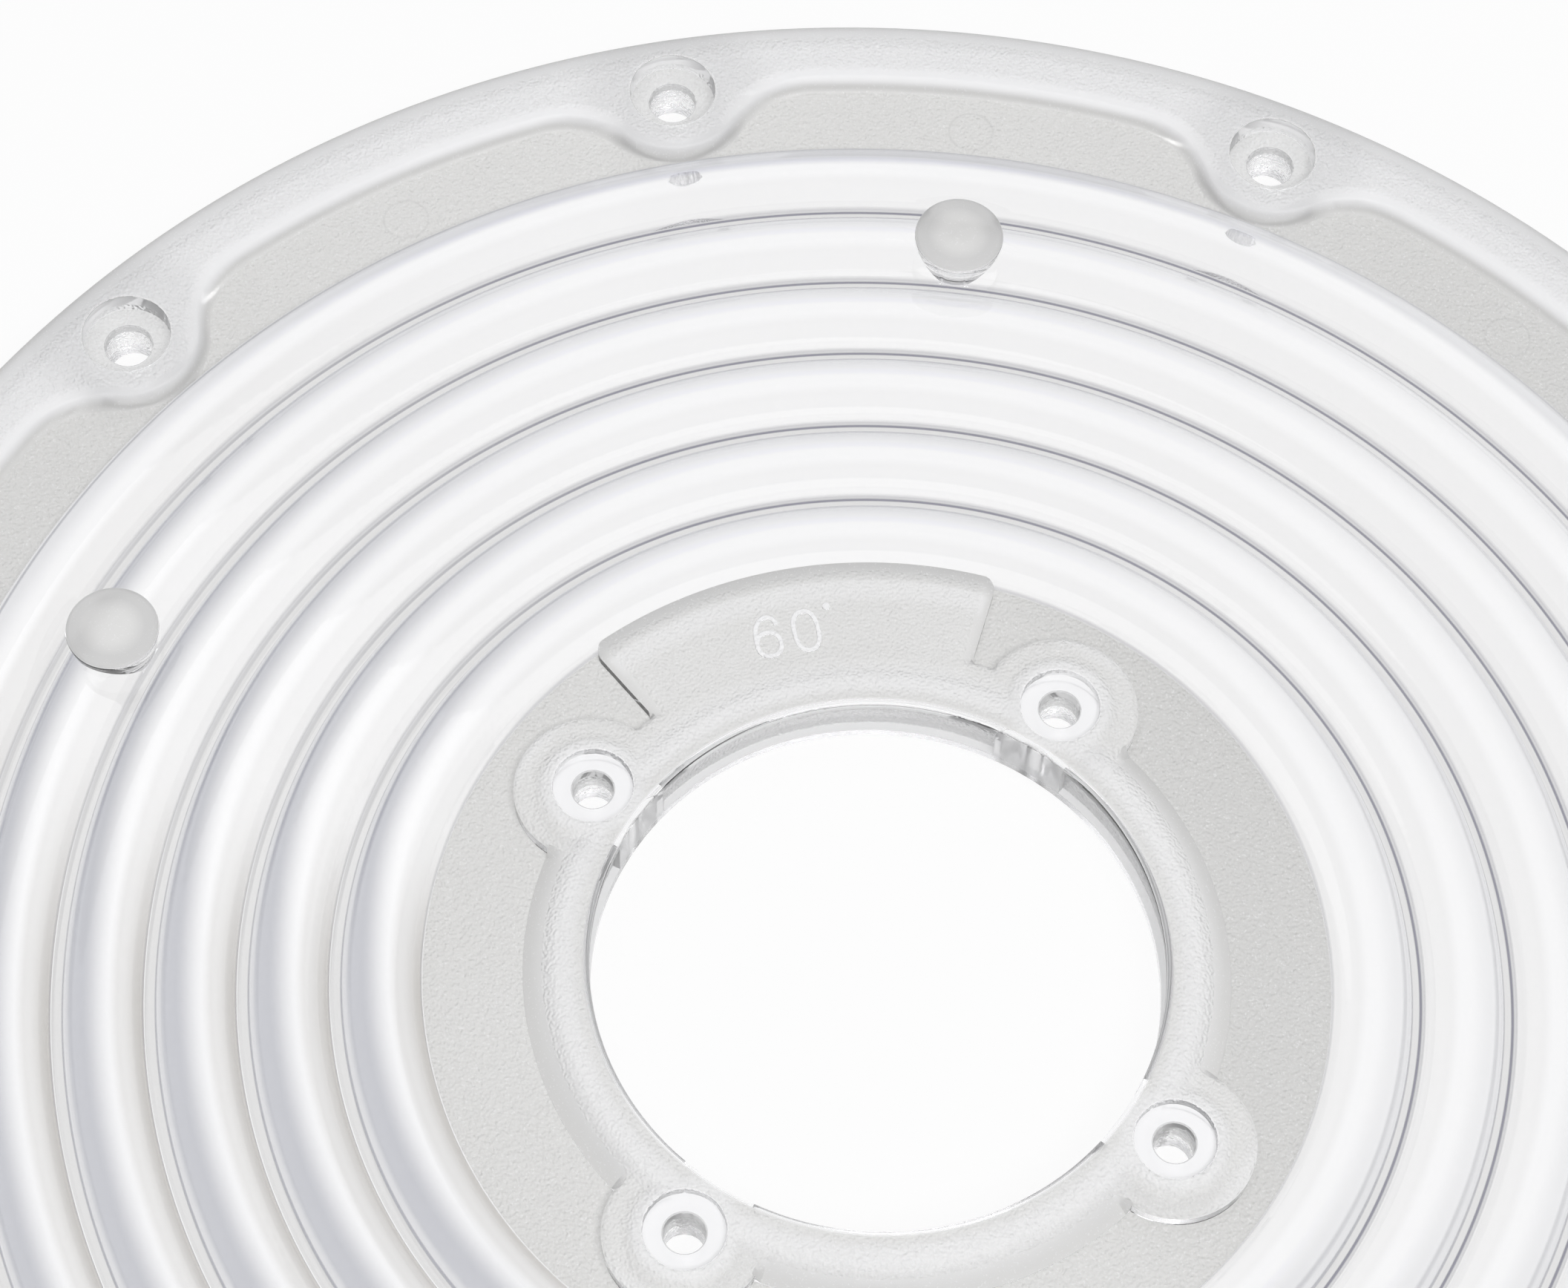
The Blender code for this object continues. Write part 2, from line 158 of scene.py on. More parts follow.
def half_cap():
    """Half of the cap's outline, from the middle of the pad on +X round to -X."""
    boss = polar(BOSS_CIRCLE, QUARTER)
    inset = math.asin(PAD_CORNER / (PAD_OUTER - PAD_CORNER))
    turn = WEB_EDGE + NOTCH
    swing = math.acos((BOSS_CIRCLE**2 + turn**2 - (STEP_RADIUS + NOTCH) ** 2) / (2 * BOSS_CIRCLE * turn))
    near = QUARTER - swing
    far = PAD_END + math.asin(NOTCH / turn)
    touch = towards(boss, polar(turn, near))
    reach = math.acos((BOSS_CIRCLE**2 + CROWN_EDGE**2 - STEP_RADIUS**2) / (2 * BOSS_CIRCLE * CROWN_EDGE))

    points = arc((0, 0), PAD_OUTER, 0, PAD_END - inset)
    corner = polar(PAD_OUTER - PAD_CORNER, PAD_END - inset)
    points += arc(corner, PAD_CORNER, PAD_END - inset, PAD_END + math.pi / 2)[1:]
    points += arc(polar(turn, far), NOTCH, PAD_END - math.pi / 2, far - math.pi, 0.2)
    points += arc(polar(turn, near), NOTCH, near + math.pi, touch + math.pi, 0.2)
    leave = towards(boss, polar(CROWN_EDGE, QUARTER + reach))
    points += arc(boss, STEP_RADIUS, touch, leave)[1:]
    points += arc((0, 0), CROWN_EDGE, QUARTER + reach, 3 * QUARTER - reach)[1:]
    boss = polar(BOSS_CIRCLE, 3 * QUARTER)
    enter = towards(boss, polar(CROWN_EDGE, 3 * QUARTER - reach))
    leave = towards(boss, polar(CROWN_EDGE, 3 * QUARTER + reach))
    points += arc(boss, STEP_RADIUS, enter, leave % (2 * math.pi))[1:]
    return points + arc((0, 0), CROWN_EDGE, 3 * QUARTER + reach, math.pi)[1:]


def eased(value):
    value = min(max(value, 0), 1)
    return value * value * (3 - 2 * value)


def rounded(depth, width, inside):
    """How far an edge has dropped, this far inside an outline."""
    return depth * max(0, 1 - inside / width) ** 2 if inside > 0 else depth + 4 * -inside


def cap_height(x, y):
    """Height of the cap over a point, with the pad towards +Y. The forms melt into one another."""
    radius = math.hypot(x, y)
    angle = abs(math.atan2(x, y))
    nearest = min(math.dist((abs(x), abs(y)), polar(BOSS_CIRCLE, QUARTER)), 99)
    crown = 2.35 * max(0, (radius - 35.2) / (CROWN_EDGE - 35.2)) ** 1.6
    mound = 0.9 * eased((nearest - 5.2) / 2.2) + 1.5 * max(0, nearest - 7.4)
    low = CROWN - PAD
    step = low + rounded(0.25, 0.5, STEP_RADIUS - nearest)
    pad_edge = rounded(0.6, 2.9, PAD_OUTER - radius)
    pad_end = rounded(0.8, 2.0, radius * (PAD_END - angle))
    pad = low + (pad_edge**3 + pad_end**3) ** (1 / 3)
    web = low + rounded(0.35, 0.8, WEB_EDGE - radius) if angle < QUARTER else 9
    depths = [max(depth, 1e-4) for depth in (crown, mound, step, pad, web)]
    return CROWN - sum(depth**-5 for depth in depths) ** -0.2


half = half_cap()
outline = half + [(x, -y) for x, y in reversed(half[1:-1])]
outline = turned_points(outline, math.pi / 2)
shape = bmesh.new()
face = shape.faces.new([shape.verts.new((x * MM, y * MM, 6 * MM)) for x, y in outline])
lifted = bmesh.ops.extrude_face_region(shape, geom=[face])["geom"]
lifted = [part for part in lifted if isinstance(part, bmesh.types.BMVert)]
bmesh.ops.translate(shape, verts=lifted, vec=(0, 0, 9 * MM))
prism = named("cap_outline", shape)

rows = 46
top = [(BORE - 1 + 21 * i / rows, CROWN) for i in range(rows + 1)]
slab = named("cap", turned(top + [(BORE + 20, 6.4), (BORE - 1, 6.4)], 480, closed=True))


def combined(item, operation, others):
    """Joins others to item, or cuts them from it, and keeps the result as item's own mesh."""
    for other in others:
        modifier = item.modifiers.new("combine", "BOOLEAN")
        modifier.operation = operation
        modifier.object = other
        modifier.solver = "MANIFOLD"
    graph = bpy.context.evaluated_depsgraph_get()
    mesh = bpy.data.meshes.new_from_object(item.evaluated_get(graph))
    item.modifiers.clear()
    item.data = mesh
    for other in others:
        bpy.data.objects.remove(other)


combined(slab, "INTERSECT", [prism])
for point in slab.data.vertices:
    if point.co.z > 9 * MM:
        point.co.z = MM * cap_height(point.co.x / MM, point.co.y / MM)

# The flange. A raised rim that swells inwards round each of ten screws, with a soft bank on its inside, a
# large round shoulder outside, and a thin skirt beneath that stands on the housing.

FLANGE = 8.8
FLANGE_INNER = 119.85
OUTER = 130.0
SHOULDER = 4.0
SCREW_COUNT = 10
SCREW_CIRCLE = 120.5
LOBE = 9.4
LOBE_FILLET = 11.0
SKIRT = 127.0
CEILING = 5.2


def scallop(offset):
    """The rim's inner outline, moved outwards by offset. Every offset gives the same count of points."""
    edge, lobe, fillet = FLANGE_INNER + offset, LOBE - offset, LOBE_FILLET + offset
    turn = edge - fillet
    swing = math.acos((SCREW_CIRCLE**2 + turn**2 - (lobe + fillet) ** 2) / (2 * SCREW_CIRCLE * turn))
    step = 2 * math.pi / SCREW_COUNT
    screw, before, after = (SCREW_CIRCLE, 0), polar(turn, -swing), polar(turn, swing)
    start = towards(screw, before) % (2 * math.pi)
    end = towards(screw, after) % (2 * math.pi)

    def part(centre, radius, first, last, count):
        turns = [first + (last - first) * i / count for i in range(1, count + 1)]
        return [(centre[0] + radius * math.cos(t), centre[1] + radius * math.sin(t)) for t in turns]

    points = part(before, fillet, -swing, start - math.pi, 9)
    points += part(screw, lobe, start, end, 18)
    points += part(after, fillet, end - math.pi, swing, 9)
    points += part((0, 0), edge, swing, step - swing, 16)
    return [spot for i in range(SCREW_COUNT) for spot in turned_points(points, math.pi / 2 + i * step)]


def drawn(rows):
    """A skin drawn through rows of points. The first row is extruded, each copy moved to the next row."""
    shape = bmesh.new()
    points, height = rows[0]
    ring = [shape.verts.new((x * MM, y * MM, height * MM)) for x, y in points]
    edges = [shape.edges.new(pair) for pair in zip(ring, ring[1:] + ring[:1])]
    for points, height in rows[1:]:
        made = bmesh.ops.extrude_edge_only(shape, edges=edges)["geom"]
        copies = {part for part in made if isinstance(part, bmesh.types.BMVert)}
        edges = [part for part in made if isinstance(part, bmesh.types.BMEdge)]
        edges = [edge for edge in edges if set(edge.verts) <= copies]
        ends = [[edge.other_vert(old) for edge in old.link_edges] for old in ring]
        ring = [next(end for end in found if end in copies) for found in ends]
        for spot, (x, y) in zip(ring, points):
            spot.co = (x * MM, y * MM, height * MM)
    return shape


directions = [math.atan2(y, x) for x, y in scallop(0)]


def circle_row(radius, height):
    return [polar(radius, angle) for angle in directions], height


flange_rows = [circle_row(109.6, FLAT)]
slope_steps = 9
for i in range(slope_steps + 1):
    t = i / slope_steps
    flange_rows.append((scallop(-0.7 + 1.8 * t), FLAT + (FLANGE - 0.13 - FLAT) * eased(t)))
flange_rows += [(scallop(1.8), FLANGE - 0.05), (scallop(2.6), FLANGE)]
flange_rows.append(circle_row(OUTER - SHOULDER - 0.4, FLANGE))
for i in range(13):
    t = math.pi / 2 * i / 12
    out, up = SHOULDER * math.sin(t), SHOULDER * math.cos(t)
    flange_rows.append(circle_row(OUTER - SHOULDER + out, FLANGE - SHOULDER + up))
underside = [(OUTER, 0.2), (OUTER - 0.2, 0), (SKIRT + 0.2, 0), (SKIRT, 0.2), (SKIRT, CEILING)]
underside += [(SCREW_CIRCLE, CEILING), (SCREW_CIRCLE, BOARD), (110.4, BOARD), (109.6, 5.5)]
flange_rows += [circle_row(*corner) for corner in underside] + flange_rows[:1]
rim = named("flange", drawn(flange_rows))

# The posts. Under each screw of the rim and of the hub a round post carries the screw's pull to the housing.

RIM_POST = 6.0
HUB_POST = 5.6

rim_turns = [math.pi / 2 + index * 2 * math.pi / SCREW_COUNT for index in range(SCREW_COUNT)]
rim_screws = [polar(SCREW_CIRCLE, turn) for turn in rim_turns]
hub_screws = [polar(BOSS_CIRCLE, (2 * index + 1) * QUARTER) for index in range(4)]


def post(name, centre, radius, foot):
    """A round post with an eased foot, up into the plate."""
    profile = [(0, foot), (radius - 0.2, foot), (radius, foot + 0.2), (radius, 6), (0, 6)]
    return named(name, turned(profile, 64, centre))


posts = [post(f"post_{index + 1}", centre, RIM_POST, 0) for index, centre in enumerate(rim_screws)]
for index, centre in enumerate(hub_screws):
    posts.append(post(f"boss_post_{index + 1}", centre, HUB_POST, HUB_FOOT))

# The knobs. Five clear pegs on the second ring from the outside, wider at the head than at the foot, with a
# gently domed and frosted top. They keep whatever the plate is laid on clear of the ring lenses.

KNOB_FOOT = 4.6
KNOB_HEAD = 5.35
KNOB_TOP = 11.8
knob_section = [(0, 6.9), (KNOB_FOOT, 6.9), (KNOB_FOOT, FLAT), (KNOB_HEAD - 0.03, 11.0)]
knob_section += [(KNOB_HEAD, 11.15), (KNOB_HEAD - 0.04, 11.3)]
knob_section += [(KNOB_HEAD - 0.2, 11.42), (KNOB_HEAD - 0.5, 11.52)]
knob_section += [(radius, KNOB_TOP - 0.011 * radius**2) for radius in (4.3, 3.6, 2.8, 2.0, 1.0, 0)]
knobs = []
for index in range(5):
    centre = polar(ring_middle(RING_COUNT - 2), math.radians(72 * (index + 1)))
    knobs.append(named(f"knob_{index + 1}", turned(knob_section, 64, centre)))

# The beam angle. Two numerals and a degree mark stand on the pad, a quarter of a millimetre proud, as a
# cutter leaves them in the mould. Each is one stroke with rounded ends and eased edges.

STROKE = 0.27
NUMERAL_TOP = 9.12


def squared_oval(centre, half_width, half_height, start, end, count, power=1.25):
    """Points round an oval with fuller corners than an ellipse."""
    points = []
    for i in range(count + 1):
        t = start + (end - start) * i / count
        cosine, sine = math.cos(t), math.sin(t)
        x = math.copysign(abs(cosine) ** (1 / power), cosine)
        y = math.copysign(abs(sine) ** (1 / power), sine)
        points.append((centre[0] + half_width * x, centre[1] + half_height * y))
    return points


def stroke_rail(path, offset, closed):
    """The path moved sideways by offset."""
    rail = []
    for i, (x, y) in enumerate(path):
        before = path[i - 1] if i or closed else path[0]
        after = path[(i + 1) % len(path)] if i + 1 < len(path) or closed else path[-1]
        turn = towards(before, after)
        rail.append((x - offset * math.sin(turn), y + offset * math.cos(turn)))
    return rail


def stroke_outline(path, half):
    """The outline of an open stroke, with a half circle at each end."""
    first, last = towards(path[0], path[1]), towards(path[-2], path[-1])
    outline = stroke_rail(path, half, False)
    outline += arc(path[-1], half, last + math.pi / 2, last - math.pi / 2, half / 3)[1:-1]
    outline += list(reversed(stroke_rail(path, -half, False)))
    return outline + arc(path[0], half, first - math.pi / 2, first - 1.5 * math.pi, half / 3)[1:-1]


def raised(name, outlines):
    """A plate of one outline, or of the band between two, with its top edges eased."""
    levels = [(0, 8.6), (0, NUMERAL_TOP - 0.08), (0.08, NUMERAL_TOP)]
    rows = [(outlines(STROKE - inset, 1), height) for inset, height in levels]
    inner = [(outlines(STROKE - inset, -1), height) for inset, height in reversed(levels)]
    if inner[0][0]:
        return named(name, drawn(rows + inner + rows[:1]))
    shape = drawn(rows)
    bmesh.ops.holes_fill(shape, edges=shape.edges)
    return named(name, shape)


nought = squared_oval((0.66, 42.4), 1.39, 2.55, 0, 2 * math.pi, 56)[:-1]
bowl = squared_oval((-3.88, 41.4), 1.39, 1.55, 0, 2 * math.pi, 44, 1.1)[:-1]
hook = [(-5.27, 41.5), (-5.27, 42.4), (-5.18, 43.2), (-4.95, 43.95), (-4.6, 44.5), (-4.15, 44.84)]
hook += [(-3.7, 44.95), (-3.3, 44.88), (-2.97, 44.65), (-2.75, 44.3), (-2.64, 43.98)]


def degree_mark(half):
    return arc((3.55, 45.1), half + 0.2, 0, 2 * math.pi, half / 5 + 0.04)[:-1]


marks = [
    raised("nought", lambda half, side: stroke_rail(nought, -half * side, True)),
    raised("bowl_of_six", lambda half, side: stroke_rail(bowl, -half * side, True)),
    raised("hook_of_six", lambda half, side: stroke_outline(hook, half) if side > 0 else []),
    raised("degree_mark", lambda half, side: degree_mark(half) if side > 0 else []),
]

combined(body, "UNION", [slab, rim] + posts + knobs)
combined(body, "UNION", marks)

# The bore and the screw holes. The core pins of the mould leave them polished: a wide bore with a shallow
# pocket in its wall between each pair of bosses, and a sunk seat for the head of every screw.

EDGE = 0.6
POCKET_DEPTH = 0.9
POCKET_LIP = 1.3
POCKET_HALF_ANGLE = math.radians(37)
HUB_HOLE, HUB_SINK, HUB_SEAT = 2.35, 4.55, CROWN - 1.15
RIM_HOLE, RIM_SINK, RIM_SEAT = 2.8, 5.25, FLANGE - 2.8

flare = []
for i in range(9):
    t = math.radians(72) * i / 8
    flare.append((BORE + EDGE - EDGE * math.cos(t), CROWN - EDGE + EDGE * math.sin(t)))
last = flare[-1]
flare.append((last[0] + 3, last[1] + 1))
bore = [(0, -1), (BORE, -1)] + flare + [(flare[-1][0], 14), (0, 14)]
cutters = [named("bore", turned(bore, TURN_STEPS))]

for index in range(4):
    start, end = index * math.pi / 2 - POCKET_HALF_ANGLE, index * math.pi / 2 + POCKET_HALF_ANGLE
    points = arc((0, 0), BORE + POCKET_DEPTH, start, end) + arc((0, 0), BORE - 2, end, start)
    shape = drawn([(points, HUB_FOOT + POCKET_LIP), (points, CROWN - POCKET_LIP)])
    bmesh.ops.holes_fill(shape, edges=shape.edges)
    cutters.append(named(f"pocket_{index + 1}", shape))


def screw_hole(name, centre, hole, sink, seat, top):
    """Cutter for a hole with a sunk seat, its edges eased a little."""
    profile = [(0, -1), (hole, -1), (hole, seat - 0.15), (hole + 0.15, seat), (sink, seat)]
    profile += [(sink, top - 0.2), (sink + 0.06, top - 0.06), (sink + 0.2, top)]
    profile += [(sink + 1.2, top + 0.5), (sink + 1.2, 14), (0, 14)]
    return named(name, turned(profile, 72, centre))


for index, centre in enumerate(hub_screws):
    cutters.append(screw_hole(f"hub_hole_{index + 1}", centre, HUB_HOLE, HUB_SINK, HUB_SEAT, CROWN))
for index, centre in enumerate(rim_screws):
    cutters.append(screw_hole(f"rim_hole_{index + 1}", centre, RIM_HOLE, RIM_SINK, RIM_SEAT, FLANGE))
combined(body, "DIFFERENCE", cutters)

body.data.shade_smooth()
body.data.set_sharp_from_angle(angle=math.radians(32))
weights = body.modifiers.new("even_shading", "WEIGHTED_NORMAL")
weights.keep_sharp = True
weights.weight = 50
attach(body, "root")
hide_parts("lens_plate")

# The clear plastic. Water-clear and polished on the ring lenses and in the bore, and finely spark-eroded on
# the flats, so that they look like ground glass. From inside, every face is clear.

CLEAR = (0.985, 0.985, 0.99, 1)
INDEX = 1.58
PIN_CIRCLE = 114.3


class Wire:
    """An output of a material's node. Sums on it add Math nodes."""

    def __init__(self, tree, socket=None):
        self.tree = tree
        self.socket = socket

    def node(self, kind, inputs=None, settings=None, output=0):
        made = self.tree.nodes.new("ShaderNode" + kind)
        for name, value in (settings or {}).items():
            setattr(made, name, value)
        for name, value in (inputs or {}).items():
            if isinstance(value, Wire):
                self.tree.links.new(value.socket, made.inputs[name])
            else:
                made.inputs[name].default_value = value
        return Wire(self.tree, made.outputs[output])

    def math(self, operation, *values):
        return self.node("Math", dict(enumerate(values)), {"operation": operation})

    def __add__(self, other):
        return self.math("ADD", self, other)

    def __sub__(self, other):
        return self.math("SUBTRACT", self, other)

    def __rsub__(self, other):
        return self.math("SUBTRACT", other, self)

    def __mul__(self, other):
        return self.math("MULTIPLY", self, other)

    def __truediv__(self, other):
        return self.math("DIVIDE", self, other)

    __radd__ = __add__
    __rmul__ = __mul__

    def highest(self, *others):
        top = self
        for other in others:
            top = self.math("MAXIMUM", top, other)
        return top

    def between(self, low, high, first=0.0, last=1.0):
        """Goes smoothly from first to last as the value goes from low to high."""
        span = {"Value": self, "From Min": low, "From Max": high, "To Min": first, "To Max": last}
        return self.node("MapRange", span, {"interpolation_type": "SMOOTHSTEP"})

    def under(self, low, high):
        """One up to low, and nothing from high on."""
        return self.between(low, high, 1.0, 0.0)

    def band(self, start, full, fall, end):
        """One from full to fall, and nothing before start and after end."""
        return self.between(start, full) * self.under(fall, end)

    def line(self, middle, half, end, share=1.0):
        """This share within half of the middle, and nothing from end on."""
        return self.math("ABSOLUTE", self - middle).between(half, end, share, 0.0)

    def colours(self, low, high):
        """Turns one colour, or a link to one, towards another by this share."""
        return self.node("Mix", {0: self, 6: low, 7: high}, {"data_type": "RGBA"}, 2)

    def parts(self):
        return [self.node("SeparateXYZ", {0: self}, output=i) for i in range(3)]

    def into(self, shader, name):
        self.tree.links.new(self.socket, shader.inputs[name])


def new_material(name):
    material = bpy.data.materials.new(name)
    material.use_nodes = True
    return material, material.node_tree.nodes["Principled BSDF"], Wire(material.node_tree)


def grey(level, blue=0.0):
    """A grey that is a little bluer, or warmer where blue is negative."""
    return level, level, level + blue, 1


def painted(colour, layers):
    """Lays each layer's colour over the last by its share."""
    for share, over in layers:
        colour = share.colours(colour, over)
    return colour


plastic, shader, start = new_material("clear_plastic")
place = start.node("TexCoord", output="Object")
across, along, height = [part * 1000 for part in place.parts()]
radius = start.math("SQRT", across * across + along * along)
_, lean_y, facing = start.node("NewGeometry", output="Normal").parts()
inside = start.node("NewGeometry", output="Backfacing")
# Facing weight, used to paint shade where a face is seen edge-on.
rim = start.node("LayerWeight", {"Blend": 0.5}, output="Facing")
turn = start.math("ARCTAN2", across, along) * (SCREW_COUNT / (2 * math.pi))


def reach_from(share, circle):
    """Distance from the nearest of ten points on a circle, this share of the way from screw to screw."""
    bearing = (turn - share - start.math("ROUND", turn - share)) * (2 * math.pi / SCREW_COUNT)
    side = radius * start.math("SINE", bearing)
    out = radius * start.math("COSINE", bearing) - circle
    return start.math("SQRT", side * side + out * out)


from_rim_screw = reach_from(0.0, SCREW_CIRCLE)
from_pin = reach_from(0.5, PIN_CIRCLE)
aside = start.math("ABSOLUTE", across) - hub_screws[0][0]
beyond = start.math("ABSOLUTE", along) - hub_screws[0][1]
from_hub_screw = start.math("SQRT", aside * aside + beyond * beyond)

# Where each finish is. The flats, the raised levels and the knobs' tops are ground, and so is the outer wall,
# while the rings, the bore and the screws' seats are polished.

on_pad = radius.under(51.3, 51.5) * along.between(40.0, 42.0) * lean_y.between(0.02, 0.08)
on_rings = radius.band(50.45, 50.6, 110.55, 110.7) * (1 - on_pad)
upward = facing.between(0.02, 0.1)
upper = height.between(5.9, 6.0) * upward
in_bore = radius.under(32.4, 32.8)
in_rim_seat = from_rim_screw.under(5.35, 5.5)
in_seat = in_rim_seat.highest(from_hub_screw.under(4.6, 4.75))
numeral = height.between(PAD + 0.07, PAD + 0.13) * radius.band(39.4, 39.5, 46.2, 46.3)
numeral = numeral * start.math("ABSOLUTE", across).under(6.5, 7.5)
knob_top = height.between(11.27, 11.35) * facing.between(0.5, 0.8)
on_flange = radius.between(111.0, 112.0) * height.between(FLAT + 0.02, FLAT + 0.1)
near_screw = on_flange * from_rim_screw.under(8.0, 14.0)
# The bank inside the rim gets a painted highlight, weaker round the screws.
bank_painted_highlight = height.between(7.5, 8.4) * radius.under(121.2, 122.6) * facing.under(0.9994, 0.9999)
bank_painted_highlight = on_flange * (1 - 0.75 * near_screw) * bank_painted_highlight
ground_flats = upper * (1 - on_rings) * (1 - in_bore) * (1 - in_seat)
frost = ground_flats.highest(knob_top, radius.between(129.3, 129.8))

# The rings. Across each one a painted shade follows the slope, standing in for what the lens refracts and
# mirrors: cool on its outer side, warm on its inner side, a faint coloured fringe near its middle, and fine
# painted dark lines at its feet. It is strongest on the left, where the slopes mirror a darker wall.

# Colours of the painted shade and painted reflection on the rings, and of a painted colour fringe.
PAINTED_COOL_SHADE = (0.04, 0.05, 0.11, 1)
PAINTED_WARM_SHADE = (0.11, 0.08, 0.04, 1)
PAINTED_VALLEY_SHADE = (0.07, 0.06, 0.04, 1)
PAINTED_COLOUR_FRINGE = (0.2, 0.2, 0.9, 1)
PAINTED_DARK_LINE = (0.02, 0.02, 0.06, 1)
LIMB, OUTER_FOOT, INNER_FOOT = 7.87, 8.87, 9.86

ring_top = on_rings * upward * height.band(6.6, 6.8, 10.3, 10.5)
step = start.math("FLOORED_MODULO", radius - RINGS_INNER, RING_PITCH)
sideways = across / radius
west = sideways.under(-0.95, -0.15)
left = (sideways + along / radius * 0.25).under(-0.98, -0.74)
east = sideways.between(0.3, 0.9)
outermost = radius.between(101.2, 102.0)
far_edge = outermost * (1 - west)
west_edge = outermost * west

# Where the painted shade falls across each ring, changing with the side of the plate.
slope_start = 4.4 - 0.4 * west - 1.4 * left + 0.1 * far_edge
slope_width = 2.8 + 0.6 * west + 0.6 * left - 1.4 * far_edge
outer_painted_shade = 0.40 + 0.30 * west - 0.19 * east + 0.12 * far_edge - 0.35 * west_edge
outer_painted_shade = ((step - slope_start) / slope_width).between(0.0, 1.0) * outer_painted_shade
outer_painted_shade = outer_painted_shade * step.between(7.8, 8.5, 1.0, 0.62) + step.between(7.9, 8.3) * east * 0.16
outer_painted_shade = outer_painted_shade * step.under(8.88, 9.0)
inner_painted_shade = step.under(2.5, 3.8) * (0.10 + 0.07 * west + 0.20 * left + 0.05 * east + 0.10 * west_edge)
inner_painted_shade = inner_painted_shade + step.under(0.1, 2.3) * (0.03 + 0.32 * left)
valley_painted_shade = step.band(8.9, 9.0, 10.05, 10.2) * (0.40 - 0.04 * west + 0.07 * left - 0.05 * east)
painted_fringe_share = step.band(4.9, 5.3, 5.5, 6.2) * (1 - west - east) * 0.07

# Painted dark lines at each ring's limb and feet.
painted_limb_line = step.line(LIMB, 0.05, 0.4) * (0.50 - 0.50 * left - 0.15 * east + 0.15 * west_edge)
painted_outer_lines = step.line(OUTER_FOOT, 0.05, 0.2, 0.7) + painted_limb_line
painted_foot_line = step.between(0.03, 0.25, 0.45, 0.0)
painted_foot_line = painted_foot_line + step.between(RING_PITCH - 0.25, RING_PITCH - 0.03, 0.0, 0.45) * (1 - left)
painted_inner_lines = step.line(INNER_FOOT, 0.08, 0.25) * (0.88 - 0.6 * west - 0.22 * left) + painted_foot_line
# These ring layers are all painted shade and painted reflection.
ring_painted_shading = [
    (ring_top * outer_painted_shade, PAINTED_COOL_SHADE),
    (ring_top * inner_painted_shade, PAINTED_WARM_SHADE),
    (ring_top * painted_fringe_share, PAINTED_COLOUR_FRINGE),
    (ring_top * valley_painted_shade, PAINTED_VALLEY_SHADE),
    (ring_top * painted_outer_lines, PAINTED_DARK_LINE),
    (ring_top * painted_inner_lines, PAINTED_DARK_LINE),
]

# The knobs, the bore and the holes. Their clear walls are painted a soft grey in place of what is seen
# through them. There is painted shade where a wall turns away, darkest low on the knobs, and painted dark
# edges where the rings are seen edge-on.

# Painted shade low on the knobs' flanks and round the edges of their heads.
painted_knob_side_shade = radius.band(84.0, 85.0, 102.0, 103.0) * height.between(7.3, 7.6)
painted_knob_side_shade = painted_knob_side_shade * facing.band(-0.4, -0.3, -0.14, -0.05)
painted_knob_edge_shade = height.band(10.9, 11.05, 11.4, 11.5)
# Painted see-through grey on the pockets, the bore wall, the seats and the holes.
pocket = radius.band(32.6, 32.75, 33.2, 33.4) * height.band(3.2, 3.4, 8.0, 8.2)
bore_wall = radius.under(33.2, 33.4) * height.band(2.7, 3.1, 8.7, 9.0)
hole = from_rim_screw.under(2.9, 3.0).highest(from_hub_screw.under(2.45, 2.55))
hole = hole * height.between(4.6, 5.0)
seat_wall = in_seat * height.between(6.02, 6.1) * facing.band(-0.3, -0.2, 0.3, 0.6)
# Painted shade and painted see-through grey. The last layer darkens the rings where they are seen edge-on.
painted_wall_shade = [
    (painted_knob_side_shade * height.between(8.2, 9.3, 0.95, 0.35), grey(0.25, 0.01)),
    (painted_knob_edge_shade * (0.12 + rim.between(0.5, 0.9) * 0.4), grey(0.35, 0.01)),
    (bore_wall * 0.5, grey(0.70)),
    (pocket * 0.6, grey(0.50)),
    (in_rim_seat * upper * 0.8, grey(0.78, -0.01)),
    (hole * 0.8, grey(0.62)),
    (on_rings * upper * rim.between(0.75, 0.97) * 0.4, (0.25, 0.24, 0.28, 1)),
]
# The clear plastic's colour, with all the painted shading laid on it.
clear_with_painted_shade = painted(CLEAR, ring_painted_shading + painted_wall_shade)

# The ground finish. Its grain is fine and crisp, with painted glints, and the numerals are white. Painted
# light makes it lighter on the raised levels, the crown, the pad and round the seats, and lightest on the
# bank inside the rim. Painted shade makes it darker on the low flats towards the sides, where an edge turns
# down or is seen edge-on, and towards the edge of the knobs' tops. It is darker round each rim screw, and
# each ejector pin of the mould left a faint ring.

GROUND = ((0.765, 0.76, 0.738, 1), (0.80, 0.796, 0.775, 1))

grain = start.node("TexNoise", {"Vector": place, "Scale": 2800.0, "Detail": 0.0})
# The finer noise gives the painted glints.
painted_glints = start.node("TexNoise", {"Vector": place, "Scale": 4200.0, "Detail": 0.0})
cloud = start.node("TexNoise", {"Vector": place, "Scale": 60.0, "Detail": 0.0})
level = height.under(FLAT + 0.01, FLAT + 0.06) + height.between(FLANGE - 0.1, FLANGE - 0.01)
grained = level * radius.between(32.7, 33.0) * (1 - radius.band(50.4, 50.6, 110.6, 110.8))
bumps = start.node("Bump", {"Height": (grain - 0.5) * grained, "Distance": 0.00022, "Strength": 1.0})

on_hub = radius.under(51.0, 52.0)
# Painted shade on the low flats, stronger towards the sides of the plate.
side_shade = on_hub * (0.10 + 0.2 * east) + (1 - on_hub) * (west + east) * 0.2
